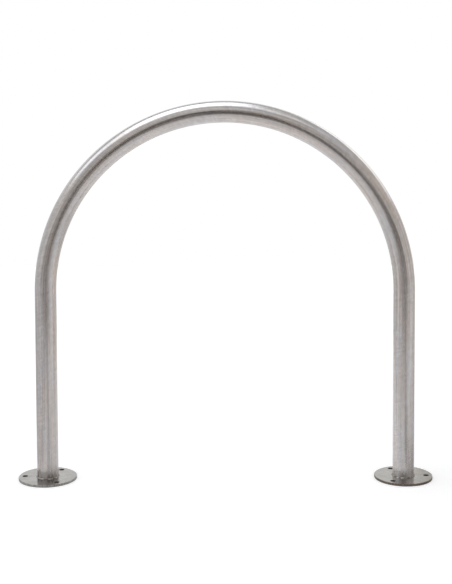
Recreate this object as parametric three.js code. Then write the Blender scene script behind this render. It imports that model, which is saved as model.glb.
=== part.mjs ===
// Hoop bike rack for bolting down on paving: one steel tube bent into an arch, with a round
// flange welded to each foot. Millimetres, +Z up. The origin is on the ground, midway between
// the feet. +X points to the right foot and +Y away from someone who faces the arch.
import * as THREE from "three";

// The arch, measured over the outside of the tube and from the ground
const hoopWidth = 900;
const hoopHeight = 900;

// The tube: 2 inch stock, its ends open
const tubeDiameter = 50.8;
const tubeWall = 2;

// The flanges: discs cut from plate, bored to take the tube, with their sharp edges broken
const flangeDiameter = 138;
const flangeThickness = 6;
const flangeEdgeBreak = 0.8;
const boreClearance = 0.3;

// The tube stops short of the flange's underside, so that only the flanges touch the ground
const tubeRecess = 1;

// The anchor holes: one points outwards, away from the other foot, and the rest are spread evenly.
// Their centres keep this distance to the flange's edge.
const anchorHoleDiameter = 12;
const anchorEdgeDistance = 15;
const anchorHoleCount = 3;

// How far each flange was turned about its tube, seen from above, when it was welded
const leftFlangeTurn = THREE.MathUtils.degToRad(1);
const rightFlangeTurn = THREE.MathUtils.degToRad(-4);

// The fillet weld round the tube, on top of each flange. Its face swells past the straight line
// between its two toes by this share of its leg.
const weldLeg = 2.2;
const weldGap = 0.3;
const weldSwellShare = 0.2;

// How finely the round shapes are cut
const tubeSides = 36;
const bendSteps = 48;
const flangeSides = 72;
const boreSides = 48;
const anchorHoleSides = 24;
const weldSides = 48;
const weldFaceSteps = 6;

const tubeRadius = tubeDiameter / 2;
const bendRadius = hoopWidth / 2 - tubeRadius;
const bendCentreHeight = hoopHeight - tubeRadius - bendRadius;
const boreRadius = tubeRadius + boreClearance;
const anchorCircleRadius = flangeDiameter / 2 - anchorEdgeDistance;

const stainlessTube = new THREE.MeshStandardMaterial({ color: 0xb9b4b1, roughness: 0.3, metalness: 1 });
const stainlessPlate = new THREE.MeshStandardMaterial({ color: 0xb4b4b0, roughness: 0.25, metalness: 1 });
const weldMetal = new THREE.MeshStandardMaterial({ color: 0x8f8780, roughness: 0.4, metalness: 1 });

// A full circle with this many sides, as an outline or as a hole in one
function circle(kind, radius, sides, x = 0, y = 0) {
  const corners = new THREE.EllipseCurve(x, y, radius, radius).getPoints(sides);
  corners.pop();
  return new kind(corners);
}

// The tube's centre line: up the left leg in one step, round the half circle in even steps,
// and down the right leg in one step.
class HoopLine extends THREE.Curve {
  constructor() {
    super();
    this.steps = bendSteps + 2;
  }

  // The angle round the bend, from 0 at the left leg to pi at the right leg
  bendAngle(step) {
    return Math.PI * THREE.MathUtils.clamp((step - 1) / bendSteps, 0, 1);
  }

  getPoint(share, target = new THREE.Vector3()) {
    const step = share * this.steps;
    const angle = this.bendAngle(step);
    const legShare = Math.min(step, this.steps - step, 1);
    const legTop = THREE.MathUtils.lerp(tubeRecess, bendCentreHeight, legShare);
    return target.set(-bendRadius * Math.cos(angle), 0, legTop + bendRadius * Math.sin(angle));
  }

  getTangent(share, target = new THREE.Vector3()) {
    const angle = this.bendAngle(share * this.steps);
    return target.set(Math.sin(angle), 0, Math.cos(angle));
  }

  // Steps are taken as they are numbered above, not by length along the line
  getUtoTmapping(share) {
    return share;
  }
}

function makeTube() {
  const section = circle(THREE.Shape, tubeRadius, tubeSides);
  section.holes.push(circle(THREE.Path, tubeRadius - tubeWall, tubeSides));
  const line = new HoopLine();
  const geometry = new THREE.ExtrudeGeometry(section, { steps: line.steps, extrudePath: line });
  return new THREE.Mesh(geometry, stainlessTube);
}

// A flange lies on the ground, centred on the origin, with its first anchor hole towards +X.
function makeFlange() {
  const outline = circle(THREE.Shape, flangeDiameter / 2, flangeSides);
  outline.holes.push(circle(THREE.Path, boreRadius, boreSides));
  for (let hole = 0; hole < anchorHoleCount; hole += 1) {
    const angle = (hole / anchorHoleCount) * 2 * Math.PI;
    const x = anchorCircleRadius * Math.cos(angle);
    const y = anchorCircleRadius * Math.sin(angle);
    outline.holes.push(circle(THREE.Path, anchorHoleDiameter / 2, anchorHoleSides, x, y));
  }
  const geometry = new THREE.ExtrudeGeometry(outline, {
    depth: flangeThickness - 2 * flangeEdgeBreak,
    bevelThickness: flangeEdgeBreak,
    bevelSize: flangeEdgeBreak,
    bevelOffset: -flangeEdgeBreak,
    bevelSegments: 1,
  });
  geometry.translate(0, 0, flangeEdgeBreak);
  return new THREE.Mesh(geometry, stainlessPlate);
}

// The weld stands on the origin's plane: a ring with a bulging face from its outer toe, on the
// flange, to its upper toe, on the tube.
function makeWeld() {
  const innerRadius = tubeRadius + weldGap;
  const profile = [new THREE.Vector2(innerRadius, 0)];
  for (let step = 0; step <= weldFaceSteps; step += 1) {
    const share = step / weldFaceSteps;
    const swell = weldLeg * weldSwellShare * Math.sin(Math.PI * share);
    profile.push(new THREE.Vector2(innerRadius + weldLeg * (1 - share) + swell, weldLeg * share + swell));
  }
  profile.push(profile[0].clone());
  const geometry = new THREE.LatheGeometry(profile, weldSides);
  geometry.rotateX(Math.PI / 2);
  return new THREE.Mesh(geometry, weldMetal);
}

// Names the pieces of one foot and stands them under a leg. A foot is turned so that its first
// anchor hole points outwards, and by what it was turned when it was welded.
function makeFoot(side, x, outwards, turn) {
  const flange = makeFlange();
  flange.name = `${side}_flange`;
  flange.position.x = x;
  flange.rotation.z = outwards + turn;
  const weld = makeWeld();
  weld.name = `${side}_weld`;
  weld.position.set(x, 0, flangeThickness);
  return [flange, weld];
}

const rack = new THREE.Group();
const tube = makeTube();
tube.name = "hoop_tube";
rack.add(tube);
rack.add(...makeFoot("left", -bendRadius, Math.PI, leftFlangeTurn));
rack.add(...makeFoot("right", bendRadius, 0, rightFlangeTurn));

export default rack;
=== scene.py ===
import math

import bmesh
import bpy
from mathutils import Matrix, Vector, noise


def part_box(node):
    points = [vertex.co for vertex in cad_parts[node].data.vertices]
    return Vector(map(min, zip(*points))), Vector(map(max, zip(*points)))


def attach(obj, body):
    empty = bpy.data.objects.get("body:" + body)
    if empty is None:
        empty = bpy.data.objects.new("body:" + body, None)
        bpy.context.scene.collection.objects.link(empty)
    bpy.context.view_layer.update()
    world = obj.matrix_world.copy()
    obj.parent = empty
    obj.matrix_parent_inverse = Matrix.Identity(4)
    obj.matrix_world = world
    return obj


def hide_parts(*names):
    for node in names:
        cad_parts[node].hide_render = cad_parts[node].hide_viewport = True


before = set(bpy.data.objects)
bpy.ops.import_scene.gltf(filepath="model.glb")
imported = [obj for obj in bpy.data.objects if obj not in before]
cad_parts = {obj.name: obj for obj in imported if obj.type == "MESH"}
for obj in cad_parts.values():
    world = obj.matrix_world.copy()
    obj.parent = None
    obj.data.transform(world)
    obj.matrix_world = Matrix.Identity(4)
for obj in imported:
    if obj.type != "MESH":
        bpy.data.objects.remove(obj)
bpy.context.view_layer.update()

MM = 0.001

# Corners this close together are one, and a corner this close to a level is on it
merge_distance = MM / 1000
level_slack = MM / 100

# The tube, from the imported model's boxes, and its wall
tube_low, tube_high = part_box("hoop_tube")
tube_radius = (tube_high.y - tube_low.y) / 2
tube_end = tube_low.z
bend_radius = tube_high.x - tube_radius
bend_height = tube_high.z - tube_radius - bend_radius
tube_wall = 2 * MM
tube_sides = 96
bend_steps = 180

# The flanges
flange_low, flange_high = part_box("left_flange")
flange_radius = (flange_high.x - flange_low.x) / 2
flange_top = flange_high.z
edge_break = 0.8 * MM
edge_steps = 4
bore_clearance = 0.3 * MM
anchor_hole_radius = 6 * MM
anchor_edge_distance = 15 * MM
anchor_circle_radius = flange_radius - anchor_edge_distance
anchor_hole_count = 3
rim_sides = 192
bore_sides = 96
hole_sides = 48

# Which of a flange's materials its rim and the walls of its holes have. Its faces have the first.
rim_finish = 1
hole_finish = 2

# The two feet: where the leg stands, which way is outwards, and how far the flange was turned
feet = {
    "left": (-bend_radius, math.pi, math.radians(1)),
    "right": (bend_radius, 0.0, math.radians(-4)),
}

# The weld bead: its leg and height, how far its root reaches into the tube and the plate, and how
# far its face swells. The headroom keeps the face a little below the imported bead's top.
weld_low, weld_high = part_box("left_weld")
bead_leg = (weld_high.x - weld_low.x) / 2 - tube_radius
bead_height = weld_high.z - flange_top
bead_root = 0.2 * MM
bead_swell_share = 0.18
bead_headroom = 1 + bead_swell_share / 4
bead_face_steps = 10
bead_sides = 360

# The ripples that the weld's puddle left, each bowed by a share of the pitch. They fade towards the
# bead's foot and top, but no further than at ripple_ends, two shares of its height.
ripple_pitch = 2.6 * MM
ripple_depth = 0.22 * MM
ripple_sharpness = 6
ripple_bow_share = 0.4
ripple_ends = (0.12, 0.88)

# How the bead's face wanders in and out. A corner is on the face where its shares of the leg and of
# the height add up to more than face_share.
bead_wander = 0.35 * MM
bead_wander_scale = 9 * MM
bead_wander_middle = 0.4
face_share = 0.75


def linear(colour):
    """An sRGB colour, as a hex number, turned to linear RGBA by the curve that defines sRGB."""
    channels = [(colour >> shift & 255) / 255 for shift in (16, 8, 0)]
    return [c / 12.92 if c <= 0.04045 else ((c + 0.055) / 1.055) ** 2.4 for c in channels] + [1.0]


def add_node(tree, kind, inputs=None, **settings):
    """Adds a node with its settings. An input is a value or another node's output, and it goes by
    its number where several share a name."""
    node = tree.nodes.new(kind)
    for name, value in settings.items():
        setattr(node, name, value)
    for name, value in (inputs or {}).items():
        if isinstance(value, bpy.types.NodeSocket):
            tree.links.new(value, node.inputs[name])
        else:
            node.inputs[name].default_value = value
    return node


def clamp(value, low, high):
    """The value, kept between two limits."""
    return min(max(value, low), high)


def ring(bm, radius, centre, sides):
    """The edges of a level circle, in the same order each run, which a set wouldn't keep."""
    verts = bmesh.ops.create_circle(bm, cap_ends=False, segments=sides, radius=radius)["verts"]
    bmesh.ops.translate(bm, verts=verts, vec=centre)
    return list(dict.fromkeys(edge for vert in verts for edge in vert.link_edges))


def edges_of(geometry):
    """The edges among what an operator gives back."""
    return [part for part in geometry if isinstance(part, bmesh.types.BMEdge)]


def extrude_ring(bm, edges, step):
    """Draws a ring of edges out by a step, and gives the ring at the new end."""
    made = bmesh.ops.extrude_edge_only(bm, edges=edges)["geom"]
    verts = {part for part in made if isinstance(part, bmesh.types.BMVert)}
    bmesh.ops.translate(bm, verts=list(verts), vec=step)
    return [edge for edge in edges_of(made) if set(edge.verts) <= verts]


def make_piece(bm, name, node, materials):
    """Makes an object of a finished mesh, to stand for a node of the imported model."""
    mesh = bpy.data.meshes.new(name)
    bm.to_mesh(mesh)
    bm.free()
    for material in materials:
        mesh.materials.append(material)
    piece = bpy.data.objects.new(name, mesh)
    bpy.context.scene.collection.objects.link(piece)
    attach(piece, "root")
    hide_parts(node)
    return piece


def unroll(place):
    """A place on the tube as its offsets from the centre line, outwards and towards +Y, and the
    length along the centre line from the left foot."""
    if place.z <= bend_height:
        outwards = abs(place.x) - bend_radius
        along = place.z if place.x < 0 else 2 * bend_height + math.pi * bend_radius - place.z
    else:
        rise = place.z - bend_height
        outwards = math.hypot(place.x, rise) - bend_radius
        along = bend_height + bend_radius * math.atan2(rise, -place.x)
    return Vector((outwards, place.y, along))


def lay_out_tube(bm):
    """Writes each corner's unrolled place, for the marks, and a UV map round and along the tube,
    for the direction of the polish. The map doesn't jump inside a face."""
    places = bm.verts.layers.float_vector.new("unrolled")
    for vert in bm.verts:
        vert[places] = unroll(vert.co)
    around_and_along = bm.loops.layers.uv.new("around_and_along")
    for face in bm.faces:
        middle = unroll(face.calc_center_median())
        middle_turn = math.atan2(middle.y, middle.x)
        for loop in face.loops:
            place = loop.vert[places]
            turn = math.atan2(place.y, place.x)
            turn += 2 * math.pi * round((middle_turn - turn) / (2 * math.pi))
            loop[around_and_along].uv = (turn * tube_radius, place.z)


def make_tube(materials):
    """Outer and inner skin: up the left leg, round the bend and down the right leg. The two are
    joined at the open ends."""
    bm = bmesh.new()
    ends = []
    for radius in (tube_radius, tube_radius - tube_wall):
        start = ring(bm, radius, Vector((-bend_radius, 0, tube_end)), tube_sides)
        leg = Vector((0, 0, bend_height - tube_end))
        edges = extrude_ring(bm, start, leg)
        spun = bmesh.ops.spin(
            bm, geom=edges, cent=(0, 0, bend_height), axis=(0, 1, 0), angle=math.pi, steps=bend_steps
        )["geom_last"]
        ends.append((start, extrude_ring(bm, edges_of(spun), -leg)))
    for outer, inner in zip(*ends):
        bmesh.ops.bridge_loops(bm, edges=outer + inner)
    bmesh.ops.remove_doubles(bm, verts=bm.verts, dist=merge_distance)
    bmesh.ops.recalc_face_normals(bm, faces=bm.faces)

    for face in bm.faces:
        face.smooth = True
    for edge in bm.edges:
        if all(abs(vert.co.z - tube_end) < level_slack for vert in edge.verts):
            edge.smooth = False
    lay_out_tube(bm)
    return make_piece(bm, "bent_tube", "hoop_tube", materials)


def edge_profile(radius, inwards):
    """The rings of a wall through the plate, with its two arrises rounded: pairs of radius and
    height. inwards is 1 for the plate's rim and -1 for a hole."""
    lower = []
    for step in range(edge_steps + 1):
        angle = math.pi / 2 * step / edge_steps
        set_back = edge_break * (1 - math.sin(angle))
        lower.append((radius - inwards * set_back, edge_break * (1 - math.cos(angle))))
    return lower + [(r, flange_top - z) for r, z in reversed(lower)]


def flange_walls(outwards, turn):
    """The walls through the plate: its rim, its bore and its anchor holes. For each, its middle as
    seen from the leg's, its radius, 1 for the rim or -1 for a hole, and how many sides it has."""
    walls = [
        ((0, 0), flange_radius, 1, rim_sides),
        ((0, 0), tube_radius + bore_clearance, -1, bore_sides),
    ]
    for hole in range(anchor_hole_count):
        angle = outwards + turn + 2 * math.pi * hole / anchor_hole_count
        middle = (anchor_circle_radius * math.cos(angle), anchor_circle_radius * math.sin(angle))
        walls.append((middle, anchor_hole_radius, -1, hole_sides))
    return walls


def make_flange(side, materials):
    """A bored and drilled disc. Its walls are bridged from ring to ring, and its two faces are
    filled between the end rings. The rim's own arrises were broken bright, like the faces. The
    materials are for the faces, the rim and the walls of the holes."""
    leg_x, outwards, turn = feet[side]
    bm = bmesh.new()
    end_rings = {0: [], -1: []}
    for (x, y), radius, inwards, sides in flange_walls(outwards, turn):
        rings = [
            ring(bm, ring_radius, Vector((leg_x + x, y, height)), sides)
            for ring_radius, height in edge_profile(radius, inwards)
        ]
        for step, (lower, upper) in enumerate(zip(rings, rings[1:])):
            for face in bmesh.ops.bridge_loops(bm, edges=lower + upper)["faces"]:
                face.smooth = True
                if inwards < 0:
                    face.material_index = hole_finish
                elif step == edge_steps:
                    face.material_index = rim_finish
        for end in end_rings:
            end_rings[end] += rings[end]
    for edges in end_rings.values():
        bmesh.ops.triangle_fill(bm, edges=edges, use_beauty=True, use_dissolve=False)
        for edge in edges:
            edge.smooth = False
    bmesh.ops.recalc_face_normals(bm, faces=bm.faces)
    return make_piece(bm, f"{side}_foot_plate", f"{side}_flange", materials)


def ripple_face(bm, leg_x):
    """Lifts and lowers the bead's face: bowed grooves between the ripples, and a slow wander."""
    ripples = round(2 * math.pi * (tube_radius + bead_leg / 2) / ripple_pitch)
    for vert in bm.verts:
        out = vert.co - Vector((leg_x, 0, flange_top))
        radius = math.hypot(out.x, out.y)
        leg_share = clamp((radius - tube_radius) / bead_leg, 0, 1)
        if leg_share + out.z / bead_height <= face_share:
            continue
        share = clamp(out.z / bead_height, 0, 1)
        bulge = math.sin(math.pi * share)
        phase = ripples * math.atan2(out.y, out.x) / (2 * math.pi) + ripple_bow_share * bulge
        lift = -ripple_depth * abs(math.cos(math.pi * phase)) ** ripple_sharpness
        lift += bead_wander * (noise.noise(vert.co / bead_wander_scale) - bead_wander_middle) * bulge
        slope = Vector((out.x / radius, out.y / radius, 1)).normalized()
        vert.co += slope * lift * math.sin(math.pi * clamp(share, *ripple_ends))


def make_bead(side, materials):
    """A fillet bead round the leg: its section spun about the leg, then rippled."""
    leg_x = feet[side][0]
    bm = bmesh.new()
    section = [bm.verts.new((leg_x + tube_radius - bead_root, 0, flange_top - bead_root))]
    for step in range(bead_face_steps + 1):
        share = step / bead_face_steps
        swell = bead_swell_share * math.sin(math.pi * share)
        radius = tube_radius + bead_leg * (1 - share + swell) - (bead_root if share == 1 else 0)
        height = bead_height * (share + swell) / bead_headroom
        section.append(bm.verts.new((leg_x + radius, 0, flange_top + height)))
    edges = [bm.edges.new((a, b)) for a, b in zip(section, section[1:] + section[:1])]
    bmesh.ops.spin(
        bm, geom=section + edges, cent=(leg_x, 0, 0), axis=(0, 0, 1), angle=2 * math.pi,
        steps=bead_sides, use_merge=True,
    )
    bmesh.ops.remove_doubles(bm, verts=bm.verts, dist=merge_distance)
    bmesh.ops.recalc_face_normals(bm, faces=bm.faces)
    ripple_face(bm, leg_x)
    for face in bm.faces:
        face.smooth = True
    return make_piece(bm, f"{side}_weld_bead", f"{side}_weld", materials)


# The marks on the tube, by their real size: round the tube, then along it. The shift brings heat
# smudges about to where the photograph has them at the left foot.
streak_size = (3.2 * MM, 170 * MM)
polish_line_size = (35 * MM, 2.4 * MM)
polish_line_slant = math.radians(24)
blotch_size = (8 * MM, 12 * MM)
tint_size = (14 * MM, 130 * MM)
smudge_size = (8 * MM, 20 * MM)
smudge_shift = (410 * MM, 492 * MM, 257 * MM)
mark_noise_roughness = 0.6

# The marks on the plates and the beads. A rolled line's size is across it, then along it.
rolled_line_size = (1.6 * MM, 60 * MM)
rolled_line_turn = math.radians(35)
mottle_size = 22 * MM
mottle_noise_roughness = 0.65
cut_striation_size = 1.5 * MM
scale_grain_size = 2.2 * MM

# How deep the marks are
streak_depth = 0.06 * MM
mottle_depth = 0.01 * MM
striation_depth = 0.15 * MM
scale_depth = 0.1 * MM

# The part of its range that noise mostly keeps to
noise_span = (0.3, 0.7)

# The tube's steel: the two colours that its tint drifts between, how much darker and brighter each
# mark makes it, and its roughness, with a duller one where it was wire-brushed by the weld
lilac_grey = 0xB3B1B2
warm_grey = 0xB7B0AC
mark_tones = {"streaks": (0.87, 1.09), "lines": (0.945, 1.05), "blotches": (0.935, 1.055)}
polished_roughness = (0.205, 0.25)
brushed_roughness = 0.6
brushed_reach = 18 * MM

# The polish draws out what the tube mirrors: how strongly, and by what share of a full turn from
# the map's way round the tube
polish_stretch = 0.65
polish_turn = 0.25

# Its tone on its inner side, brighter as a painted reflection of the floor under the arch and a little
# darker towards the left foot as painted shade, and on its outer side, darker towards the right foot as
# painted shade. The spans are those in which each side starts, outwards from the centre line.
inner_side_painted_reflection = 1.12
left_foot_inner_painted_shade = 0.96
right_foot_outer_painted_shade = 0.82
foot_painted_shade_reach = 350 * MM
inner_side_span = (-0.65 * tube_radius, -0.35 * tube_radius)
outer_side_span = (0.5 * tube_radius, 0.75 * tube_radius)

# The heat of welding: the oxide that it left, thin and thick, how strong it is, how far up it
# reaches, and what share of it the right foot got
thin_oxide = 0xADA59D
thick_oxide = 0x6A605B
heat_strength = 1.3
heat_reach = 38 * MM
right_foot_share = 0.25

# The plates' mill finish: its grey, how much darker and brighter the marks make it, and its
# roughness, each with the span of the marks that it follows
plate_grey = 0xAEAEAC
plate_tones = (0.84, 1.1)
plate_tone_span = (0.8, 1.2)
plate_roughness = (0.15, 0.21)
plate_roughness_span = (0.7, 1.3)

# The walls cut through the plates: the dark and the pale of their striations, and where the noise
# turns from one to the other
rim_greys = (0x686664, 0xA2A09E)
# The right rim's pair is darker and browner than the left's: painted shade.
rim_painted_shade_browns = (0x4A423B, 0x787068)
# The holes' pair is dark as painted shade in the recesses.
hole_painted_shade = (0x45413D, 0x66615C)
striation_span = (0.35, 0.65)
cut_roughness = 0.42

# The beads: browned and bare, and where the noise turns from one to the other
bead_colours = (0x655C56, 0x9C9691)
bead_patch_span = (0.4, 0.6)
bead_roughness = 0.4


def new_material(name):
    """An empty node material and its output node."""
    material = bpy.data.materials.new(name)
    material.use_nodes = True
    material.node_tree.nodes.clear()
    return material, add_node(material.node_tree, "ShaderNodeOutputMaterial")


def show_metal(output, colour, roughness, relief, depth, polish=None):
    """Makes the material's surface bare metal, with a relief as deep as the depth. The polish is
    the shader's further inputs, for a finish that runs one way."""
    tree = output.id_data
    bump = add_node(tree, "ShaderNodeBump", {"Height": relief, "Distance": depth, "Strength": 1.0})
    shader = add_node(tree, "ShaderNodeBsdfPrincipled", {
        "Base Color": colour, "Metallic": 1.0, "Roughness": roughness, "Normal": bump.outputs[0],
        **(polish or {}),
    })
    tree.links.new(shader.outputs["BSDF"], output.inputs["Surface"])


def tube_patterns(tree, unrolled):
    """Noise for each kind of mark on the tube, stretched to the mark's size."""
    patterns = {}
    for name, (around, along), slant, shift, detail in (
        ("streaks", streak_size, 0.0, (0, 0, 0), 3.0),
        ("lines", polish_line_size, polish_line_slant, (0, 0, 0), 2.0),
        ("blotches", blotch_size, 0.0, (0, 0, 0), 3.0),
        ("tints", tint_size, 0.0, (0, 0, 0), 2.0),
        ("smudges", smudge_size, 0.0, smudge_shift, 3.0),
    ):
        scaled = add_node(tree, "ShaderNodeMapping", {
            "Vector": unrolled, "Location": shift, "Rotation": (0, slant, 0),
            "Scale": (around, around, along),
        }, vector_type="TEXTURE")
        patterns[name] = add_node(tree, "ShaderNodeTexNoise", {
            "Vector": scaled.outputs[0], "Scale": 1.0, "Detail": detail,
            "Roughness": mark_noise_roughness,
        }).outputs["Fac"]
    return patterns


def spread(tree, pattern, low, high):
    """Noise, which keeps near its middle, drawn out between two values."""
    return add_node(tree, "ShaderNodeMapRange", {
        "Value": pattern, "From Min": noise_span[0], "From Max": noise_span[1],
        "To Min": low, "To Max": high,
    }, interpolation_type="SMOOTHSTEP").outputs[0]


def fade_above_weld(tree, height, reach):
    """1 at the top of the weld, and 0 from the reach upwards."""
    return add_node(tree, "ShaderNodeMapRange", {
        "Value": height, "From Min": weld_high.z, "From Max": weld_high.z + reach,
        "To Min": 1.0, "To Max": 0.0,
    }).outputs[0]


def painted_side_light(tree, outwards, place):
    """How bright the steel is painted on the tube's inner and outer sides. The photograph has the inner
    side brighter, except at the left foot, and the outer side darker at the right foot. Here the
    brighter inner side is a painted reflection of the floor under the arch, and the darker places are
    painted shade."""
    low = fade_above_weld(tree, place["Z"], foot_painted_shade_reach)
    foot = add_node(tree, "ShaderNodeMath", {0: low, 1: place["X"]}, operation="MULTIPLY").outputs[0]
    inner_tone = add_node(tree, "ShaderNodeMapRange", {
        "Value": foot, "From Min": -bend_radius, "From Max": 0.0,
        "To Min": left_foot_inner_painted_shade, "To Max": inner_side_painted_reflection,
    }).outputs[0]
    outer_tone = add_node(tree, "ShaderNodeMapRange", {
        "Value": foot, "From Min": 0.0, "From Max": bend_radius,
        "To Min": 1.0, "To Max": right_foot_outer_painted_shade,
    }).outputs[0]
    inner_side = add_node(tree, "ShaderNodeMapRange", {
        "Value": outwards, "From Min": inner_side_span[0], "From Max": inner_side_span[1],
        "To Min": inner_tone, "To Max": 1.0,
    }).outputs[0]
    outer_side = add_node(tree, "ShaderNodeMapRange", {
        "Value": outwards, "From Min": outer_side_span[0], "From Max": outer_side_span[1],
        "To Min": 1.0, "To Max": outer_tone,
    }).outputs[0]
    return [inner_side, outer_side]


def near_weld(tree, place, reach):
    """1 at the left foot's weld, right_foot_share at the right foot's, and 0 past the reach."""
    side = add_node(tree, "ShaderNodeMapRange", {
        "Value": place["X"], "From Min": -bend_radius, "From Max": bend_radius,
        "To Min": 1.0, "To Max": right_foot_share,
    }).outputs[0]
    fade = fade_above_weld(tree, place["Z"], reach)
    return add_node(tree, "ShaderNodeMath", {0: fade, 1: side}, operation="MULTIPLY").outputs[0]


def browned(tree, steel, heat):
    """The steel's colour, covered with oxide as far as the heat reached it."""
    oxide = add_node(tree, "ShaderNodeValToRGB", {"Fac": heat})
    oxide.color_ramp.elements[0].color = linear(thin_oxide)
    oxide.color_ramp.elements[1].color = linear(thick_oxide)
    return add_node(tree, "ShaderNodeMix", {
        0: heat, 6: steel, 7: oxide.outputs["Color"],
    }, data_type="RGBA").outputs[2]


def belt_polished_stainless():
    """Stainless tube, drawn and then belt-polished. It mirrors softly. The drawing left streaks
    along it and the belt left fine slanting lines across it, here coarser than real so that they
    show. It is a little blotchy, and its tint drifts between lilac grey and a warm grey. Above the
    welds, and more at the left foot, heat has browned it in smudges and a wire brush has dulled
    it."""
    material, output = new_material("belt_polished_stainless")
    tree = material.node_tree
    unrolled = add_node(tree, "ShaderNodeAttribute", attribute_name="unrolled").outputs["Vector"]
    outwards = add_node(tree, "ShaderNodeSeparateXYZ", {0: unrolled}).outputs["X"]
    place = add_node(tree, "ShaderNodeTexCoord").outputs["Object"]
    place = add_node(tree, "ShaderNodeSeparateXYZ", {0: place}).outputs
    patterns = tube_patterns(tree, unrolled)

    steel = add_node(tree, "ShaderNodeMix", {
        0: spread(tree, patterns["tints"], 0.0, 1.0), 6: linear(lilac_grey), 7: linear(warm_grey),
    }, data_type="RGBA").outputs[2]
    tones = [spread(tree, patterns[name], *span) for name, span in mark_tones.items()]
    # The side tones are painted light: a painted reflection on the inner side and painted shade by the
    # feet.
    for tone in tones + painted_side_light(tree, outwards, place):
        steel = add_node(tree, "ShaderNodeVectorMath", {
            0: steel, 3: tone,
        }, operation="SCALE").outputs[0]

    heat = add_node(tree, "ShaderNodeMath", {
        0: near_weld(tree, place, heat_reach), 1: spread(tree, patterns["smudges"], 0.0, heat_strength),
    }, operation="MULTIPLY").outputs[0]
    roughness = add_node(tree, "ShaderNodeMix", {
        0: near_weld(tree, place, brushed_reach),
        2: spread(tree, patterns["streaks"], *polished_roughness), 3: brushed_roughness,
    }, data_type="FLOAT").outputs[0]
    relief = add_node(tree, "ShaderNodeMath", {
        0: patterns["streaks"], 1: patterns["lines"],
    }, operation="ADD").outputs[0]
    tangent = add_node(tree, "ShaderNodeTangent", direction_type="UV_MAP", uv_map="around_and_along")
    show_metal(output, browned(tree, steel, heat), roughness, relief, streak_depth, {
        "Anisotropic": polish_stretch, "Anisotropic Rotation": polish_turn,
        "Tangent": tangent.outputs[0],
    })
    return material


def cold_rolled_plate():
    """Stainless plate with its mill finish: a grey that mirrors more sharply than the tube,
    mottled, with faint rolling lines, here coarser than real so that they show."""
    material, output = new_material("cold_rolled_plate")
    tree = material.node_tree
    place = add_node(tree, "ShaderNodeTexCoord").outputs["Object"]
    mottle = add_node(tree, "ShaderNodeTexNoise", {
        "Vector": place, "Scale": 1 / mottle_size, "Detail": 5.0,
        "Roughness": mottle_noise_roughness,
    }).outputs["Fac"]
    turned = add_node(tree, "ShaderNodeMapping", {
        "Vector": place, "Rotation": (0, 0, rolled_line_turn),
        "Scale": (rolled_line_size[1], rolled_line_size[0], 1.0),
    }, vector_type="TEXTURE")
    rolled = add_node(tree, "ShaderNodeTexNoise", {
        "Vector": turned.outputs[0], "Scale": 1.0, "Detail": 2.0,
    }).outputs["Fac"]
    marks = add_node(tree, "ShaderNodeMath", {0: mottle, 1: rolled}, operation="ADD").outputs[0]
    tone, roughness = [
        add_node(tree, "ShaderNodeMapRange", {
            "Value": marks, "From Min": span[0], "From Max": span[1],
            "To Min": reach[0], "To Max": reach[1],
        }).outputs[0]
        for span, reach in ((plate_tone_span, plate_tones), (plate_roughness_span, plate_roughness))
    ]
    steel = add_node(tree, "ShaderNodeVectorMath", {
        0: linear(plate_grey)[:3], 3: tone,
    }, operation="SCALE").outputs[0]
    show_metal(output, steel, roughness, marks, mottle_depth)
    return material


def cut_wall(name, colours):
    """A wall cut through the plate: oxidised steel, rough, with striations straight through the
    thickness, here coarser than real so that they show. The colours for the holes, and the right
    rim's darker, browner ones, add painted shade."""
    material, output = new_material(name)
    tree = material.node_tree
    place = add_node(tree, "ShaderNodeTexCoord").outputs["Object"]
    across = add_node(tree, "ShaderNodeMapping", {
        "Vector": place, "Scale": (cut_striation_size, cut_striation_size, 1.0),
    }, vector_type="TEXTURE")
    striations = add_node(tree, "ShaderNodeTexNoise", {
        "Vector": across.outputs[0], "Scale": 1.0, "Detail": 2.0,
    }).outputs["Fac"]
    steel = add_node(tree, "ShaderNodeValToRGB", {"Fac": striations})
    for stop in (0, 1):
        steel.color_ramp.elements[stop].position = striation_span[stop]
        steel.color_ramp.elements[stop].color = linear(colours[stop])
    show_metal(output, steel.outputs["Color"], cut_roughness, striations, striation_depth)
    return material


def plasma_cut_edge():
    """The left plate's rim: a plain grey."""
    return cut_wall("plasma_cut_edge", rim_greys)


def painted_shade_cut_edge():
    """The right plate's rim: darker and browner than the left one's, as painted shade."""
    return cut_wall("painted_shade_cut_edge", rim_painted_shade_browns)


def drilled_wall():
    """The walls of the bore and the anchor holes, dark as painted shade inside these recesses."""
    return cut_wall("drilled_wall", hole_painted_shade)


def tig_bead():
    """As-welded stainless bead, wire-brushed: bright on its ripples, browned by heat in patches,
    and grained with scale, here coarser than real so that it shows."""
    material, output = new_material("tig_bead")
    tree = material.node_tree
    place = add_node(tree, "ShaderNodeTexCoord").outputs["Object"]
    grain = add_node(tree, "ShaderNodeTexNoise", {
        "Vector": place, "Scale": 1 / scale_grain_size, "Detail": 3.0,
    }).outputs["Fac"]
    patches = add_node(tree, "ShaderNodeTexNoise", {
        "Vector": place, "Scale": 1 / smudge_size[0], "Detail": 2.0,
    }).outputs["Fac"]
    oxide = add_node(tree, "ShaderNodeValToRGB", {"Fac": patches})
    for stop in (0, 1):
        oxide.color_ramp.elements[stop].position = bead_patch_span[stop]
        oxide.color_ramp.elements[stop].color = linear(bead_colours[stop])
    show_metal(output, oxide.outputs["Color"], bead_roughness, grain, scale_depth)
    return material


# The studio's white floor, which ends this far from the hoop each way. It glows a little by the
# hoop and more at the far edge.
floor_front = 1.65
floor_back = 3.5
floor_side = 3.5
floor_albedo = 0.9
floor_glow = 0.385
floor_far_glow = 0.58

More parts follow.
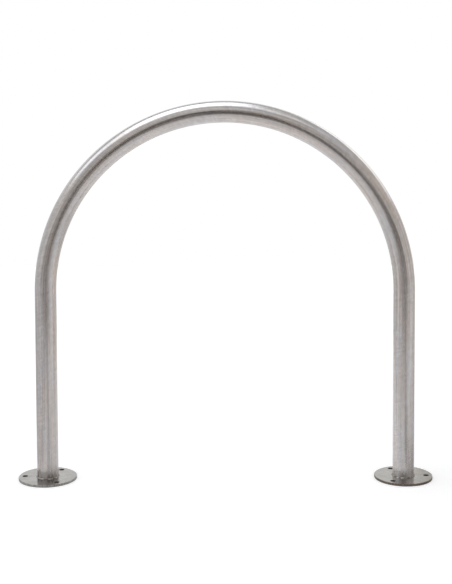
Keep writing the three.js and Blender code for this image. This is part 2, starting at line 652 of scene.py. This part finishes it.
# The softbox overhead, and the even light from all round
softbox_size = (1.77, 1.46)
softbox_place = Vector((-0.56, 0.075, 2.5))
softbox_radiance = 1.88
softbox_colour = 0xF8FAFF
studio_light = 0.56

# The walls as the metal mirrors them, which warm from left to right between these two directions
left_wall_colour = 0xF4F5F5
right_wall_colour = 0xF5EFE9
walls_warm = (-0.5, 0.5)

# The ceiling as the metal mirrors it. It glows over an ellipse that reaches in from the far left,
# past the softbox, and is bare elsewhere. The bare part warms between these two places in X.
ceiling_height = 2.6
glow_centre = (-5.0, -0.45)
glow_reach = (8.6, 1.76)
glow_radiance = 2.54
glow_colour = 0xF8FBFF
ceiling_radiance = 0.73
ceiling_colour = 0xF8FDFF
ceiling_right_colour = 0xFFFEFC
ceiling_warms = (1.0, 2.0)

# Panels just under the ceiling, brighter than its bare part, at the camera and behind the hoop: the
# left and right edge of each, its front and back edge, and its radiance
panels = {
    "front_panel": (-1.3, 0.35, -2.9, -2.1, 1.15),
    "back_panel": (-5.5, 1.3, 2.1, 4.2, 1.3),
    "right_back_panel": (1.3, 5.5, 1.7, 4.2, 2.3),
}

# A card far behind the hoop on the right, which the right flange mirrors: its left and right edge,
# its depth, its foot and top, and its colour
far_card = (1.3, 2.8, 5.0, 0.4, 3.2, 0xCBC7C1)

# Cards that stand behind the camera, the front ones first: the left and right edge of each, its
# height, and its colour at the foot and at the top
cards_depth = 3.2
cards = {
    "dark_card": (-0.55, 0.38, 1.8, 0x322D2A, 0x322D2A),
    "left_strip": (-0.7, -0.55, 1.17, 0xE9E5E2, 0xE9E5E2),
    "left_stand": (-1.35, -0.7, 1.38, 0x88827E, 0xC6C1BD),
    "right_stand": (0.67, 2.06, 0.68, 0x423B37, 0x423B37),
    "right_strip": (0.38, 0.67, 3.0, 0xF4EFEA, 0xF4EFEA),
    "left_screen": (-floor_side, -1.35, 3.0, 0xC9C4C0, 0xE4E2E0),
    "right_screen": (0.67, floor_side, 3.3, 0xEEE9E4, 0xC8C2BD),
}

# Boards on the floor, beside the hoop, behind it and at the camera: the left and right edge of
# each, its front and back edge, and its colour
board_height = 0.5 * MM
boards = {
    "left_board": (-floor_side, -0.55, -floor_front, 0.2, 0xEEEEEF),
    "left_back_board": (-floor_side, -0.55, 0.2, floor_back, 0xE2E2E2),
    # The right board is a painted shadow of the right leg on the floor, as the metal mirrors it.
    "right_board": (0.46, 0.7, -floor_front, floor_back, 0xDAD7D4),
    "right_back_board": (0.7, floor_side, 0.2, floor_back, 0xEBE6E0),
    "back_board": (-0.25, 0.25, 1.6, floor_back, 0x8A847F),
    "left_front_board": (-floor_side, -0.55, -cards_depth, -floor_front, 0xB4AEAA),
    "middle_left_board": (-0.55, -0.05, -2.4, -floor_front, 0xC2BBB6),
    # This board and the next, the darkest at the camera, are painted shade on the floor there.
    "middle_right_board": (-0.05, 0.32, -2.4, -floor_front, 0x8C857F),
    "far_left_board": (-0.55, 0.1, -cards_depth, -2.4, 0x99928C),
    "far_middle_board": (0.1, 0.38, -cards_depth, -2.4, 0xC0BAB4),
    "right_front_board": (0.32, floor_side, -2.3, -floor_front, 0xBEB9B5),
    "far_right_board": (0.38, floor_side, -cards_depth, -2.3, 0x9B9692),
}

# The left leg's shadow on the floor, as the metal mirrors it: its left and right edge at the
# floor's front and at its other end, near the leg
leg_shadow_front = (-0.15, 0.2)
leg_shadow_back = (-0.43, -0.3)
leg_shadow_end = -0.05
leg_shadow_colour = 0xEDEBE9


def stage_quad(name, corners, material):
    """A flat stage piece with its outline as listed."""
    bm = bmesh.new()
    bm.faces.new([bm.verts.new(corner) for corner in corners])
    mesh = bpy.data.meshes.new(name)
    bm.to_mesh(mesh)
    bm.free()
    mesh.materials.append(material)
    piece = bpy.data.objects.new(name, mesh)
    bpy.context.scene.collection.objects.link(piece)
    return piece


def level(left, right, front, back, height):
    """The corners of a level sheet."""
    return [(left, front, height), (right, front, height), (right, back, height), (left, back, height)]


def upright(left, right, depth, foot, top):
    """The corners of a sheet that faces the hoop."""
    return [(left, depth, foot), (right, depth, foot), (right, depth, top), (left, depth, top)]


def make_floor():
    """White paper that takes the shadow. To the camera, and mirrored in the metal, it also glows a
    little, and more where the softbox's light falls off, so that it reads as plain white."""
    material, output = new_material("white_paper")
    tree = material.node_tree
    light_path = add_node(tree, "ShaderNodeLightPath")
    seen = add_node(tree, "ShaderNodeMath", {
        0: light_path.outputs["Is Camera Ray"], 1: light_path.outputs["Is Glossy Ray"],
    }, operation="ADD")
    seen = add_node(tree, "ShaderNodeMath", {
        0: seen.outputs[0], 1: light_path.outputs["Is Transmission Ray"],
    }, operation="ADD")
    place = add_node(tree, "ShaderNodeTexCoord").outputs["Object"]
    distance = add_node(tree, "ShaderNodeVectorMath", {0: place}, operation="LENGTH").outputs["Value"]
    glow = add_node(tree, "ShaderNodeMapRange", {
        "Value": distance, "From Min": tube_high.x, "From Max": floor_back,
        "To Min": floor_glow, "To Max": floor_far_glow,
    })
    glow = add_node(tree, "ShaderNodeMath", {
        0: seen.outputs[0], 1: glow.outputs[0],
    }, operation="MULTIPLY")
    shader = add_node(tree, "ShaderNodeBsdfPrincipled", {
        "Base Color": (floor_albedo, floor_albedo, floor_albedo, 1), "Roughness": 1.0,
        "Specular IOR Level": 0.0, "Emission Color": (1, 1, 1, 1),
        "Emission Strength": glow.outputs[0],
    })
    tree.links.new(shader.outputs["BSDF"], output.inputs["Surface"])
    stage_quad("floor", level(-floor_side, floor_side, -floor_front, floor_back, 0), material)


def make_mirrored(name, corners, colour):
    """A stage piece that shows only as a reflection in the metal, and takes no part in the
    lighting. Gives its glow, whose colour a node may still take over."""
    material, output = new_material(name)
    glow = add_node(material.node_tree, "ShaderNodeEmission", {"Color": colour, "Strength": 1.0})
    material.node_tree.links.new(glow.outputs[0], output.inputs["Surface"])
    piece = stage_quad(name, corners, material)
    piece.visible_camera = False
    piece.visible_diffuse = False
    piece.visible_shadow = False
    return glow


def scaled_colour(colour, radiance):
    """A colour brought to a radiance, which is what its green channel gets."""
    red, green, blue, alpha = linear(colour)
    return [red / green * radiance, radiance, blue / green * radiance, alpha]


def make_ceiling():
    """It is brightest at the glow's centre and evens out at the glow's reach. Past that it is bare,
    and warmer on the right."""
    glowing = scaled_colour(glow_colour, glow_radiance)
    corners = level(-floor_side, floor_side, -cards_depth, floor_back, ceiling_height)
    glow = make_mirrored("ceiling", corners, glowing)
    tree = glow.id_data
    place = add_node(tree, "ShaderNodeTexCoord").outputs["Object"]
    right_share = add_node(tree, "ShaderNodeMapRange", {
        "Value": add_node(tree, "ShaderNodeSeparateXYZ", {0: place}).outputs["X"],
        "From Min": ceiling_warms[0], "From Max": ceiling_warms[1],
    }).outputs[0]
    bare = add_node(tree, "ShaderNodeMix", {
        0: right_share, 6: scaled_colour(ceiling_colour, ceiling_radiance),
        7: scaled_colour(ceiling_right_colour, ceiling_radiance),
    }, data_type="RGBA").outputs[2]
    from_centre = add_node(tree, "ShaderNodeMapping", {
        "Vector": place, "Location": (*glow_centre, ceiling_height), "Scale": (*glow_reach, 1),
    }, vector_type="TEXTURE").outputs[0]
    distance = add_node(tree, "ShaderNodeVectorMath", {0: from_centre}, operation="LENGTH")
    bare_share = add_node(tree, "ShaderNodeMapRange", {
        "Value": distance.outputs["Value"],
    }, interpolation_type="SMOOTHSTEP").outputs[0]
    colour = add_node(tree, "ShaderNodeMix", {
        0: bare_share, 6: glowing, 7: bare,
    }, data_type="RGBA").outputs[2]
    tree.links.new(colour, glow.inputs["Color"])


def make_panels():
    """The panels under the ceiling, in the glow's colour."""
    for name, (left, right, front, back, radiance) in panels.items():
        corners = level(left, right, front, back, ceiling_height - MM)
        make_mirrored(name, corners, scaled_colour(glow_colour, radiance))


def make_boards():
    """The boards on the floor and the left leg's shadow."""
    for name, (left, right, front, back, colour) in boards.items():
        make_mirrored(name, level(left, right, front, back, board_height), linear(colour))
    (front_left, front_right), (back_left, back_right) = leg_shadow_front, leg_shadow_back
    make_mirrored("leg_shadow", [
        (front_left, -floor_front, board_height), (front_right, -floor_front, board_height),
        (back_right, leg_shadow_end, board_height), (back_left, leg_shadow_end, board_height),
    ], linear(leg_shadow_colour))


def make_cards():
    """The card far behind the hoop, and those behind the camera, each a little behind the one
    before it and shaded from its foot to its top."""
    *edges, colour = far_card
    make_mirrored("far_card", upright(*edges), linear(colour))
    for step, (name, (left, right, height, foot_colour, top_colour)) in enumerate(cards.items()):
        corners = upright(left, right, -cards_depth - MM * step, 0, height)
        glow = make_mirrored(name, corners, linear(foot_colour))
        tree = glow.id_data
        place = add_node(tree, "ShaderNodeTexCoord").outputs["Object"]
        up = add_node(tree, "ShaderNodeSeparateXYZ", {0: place}).outputs["Z"]
        share = add_node(tree, "ShaderNodeMapRange", {"Value": up, "From Max": height}).outputs[0]
        colour = add_node(tree, "ShaderNodeMix", {
            0: share, 6: linear(foot_colour), 7: linear(top_colour),
        }, data_type="RGBA").outputs[2]
        tree.links.new(colour, glow.inputs["Color"])


def light_room():
    """White to the camera, and an even light on everything. Mirrored in the metal, the walls are a
    little below white, and warmer on the right. The room is too even to be sampled as a lamp."""
    world = bpy.data.worlds.new("studio")
    bpy.context.scene.world = world
    world.use_nodes = True
    world.cycles.sampling_method = "NONE"
    tree = world.node_tree
    tree.nodes.clear()
    direction = add_node(tree, "ShaderNodeTexCoord").outputs["Generated"]
    right_share = add_node(tree, "ShaderNodeMapRange", {
        "Value": add_node(tree, "ShaderNodeSeparateXYZ", {0: direction}).outputs["X"],
        "From Min": walls_warm[0], "From Max": walls_warm[1],
    }).outputs[0]
    walls = add_node(tree, "ShaderNodeMix", {
        0: right_share, 6: linear(left_wall_colour), 7: linear(right_wall_colour),
    }, data_type="RGBA").outputs[2]
    light_path = add_node(tree, "ShaderNodeLightPath")
    lit = add_node(tree, "ShaderNodeMix", {
        0: light_path.outputs["Is Diffuse Ray"], 6: walls, 7: (studio_light,) * 3 + (1,),
    }, data_type="RGBA")
    seen = add_node(tree, "ShaderNodeMix", {
        0: light_path.outputs["Is Camera Ray"], 6: lit.outputs[2], 7: (1, 1, 1, 1),
    }, data_type="RGBA")
    background = add_node(tree, "ShaderNodeBackground", {"Color": seen.outputs[2], "Strength": 1.0})
    add_node(tree, "ShaderNodeOutputWorld", {"Surface": background.outputs[0]})


def hang_softbox():
    """A softbox above, a little to the left. Its power is pi times its area and its radiance."""
    lamp = bpy.data.lights.new("softbox", "AREA")
    lamp.shape = "RECTANGLE"
    lamp.size, lamp.size_y = softbox_size
    lamp.energy = math.pi * softbox_size[0] * softbox_size[1] * softbox_radiance
    lamp.color = linear(softbox_colour)[:3]
    softbox = bpy.data.objects.new("softbox", lamp)
    softbox.location = softbox_place
    softbox.visible_camera = False
    bpy.context.scene.collection.objects.link(softbox)


# The camera that took the photograph, from the tube's outlines and the flanges: where it stood, how
# far it was tipped down, turned and rolled, in radians, and its focal length and where its axis met
# the picture, in the photograph's pixels. The sensor is in millimetres.
camera_place = Vector((8.85, -2773.24, 911.16)) * MM
camera_pitch = 0.0626
camera_yaw = -0.0018
camera_roll = -0.0037
picture_height = 584
focal_pixels = 1181.43
axis_above_middle = 122
sensor = 36.0


def make_camera():
    """The lens is shifted, because the camera's axis met the picture above its middle."""
    lens = bpy.data.cameras.new("camera")
    lens.sensor_width = sensor
    lens.lens = focal_pixels * sensor / picture_height
    lens.shift_y = -axis_above_middle / picture_height
    camera = bpy.data.objects.new("camera", lens)
    camera.matrix_world = (
        Matrix.Translation(camera_place)
        @ Matrix.Rotation(-camera_yaw, 4, "Z")
        @ Matrix.Rotation(math.pi / 2 - camera_pitch, 4, "X")
        @ Matrix.Rotation(camera_roll, 4, "Z")
    )
    bpy.context.scene.collection.objects.link(camera)
    bpy.context.scene.camera = camera


make_camera()
make_floor()
make_ceiling()
make_panels()
make_boards()
make_cards()
light_room()
hang_softbox()

make_tube([belt_polished_stainless()])
plate = cold_rolled_plate()
rims = {"left": plasma_cut_edge(), "right": painted_shade_cut_edge()}
holes = drilled_wall()
bead = tig_bead()
for side in feet:
    make_flange(side, [plate, rims[side], holes])
    make_bead(side, [bead])

bpy.context.scene.view_settings.view_transform = "Standard"
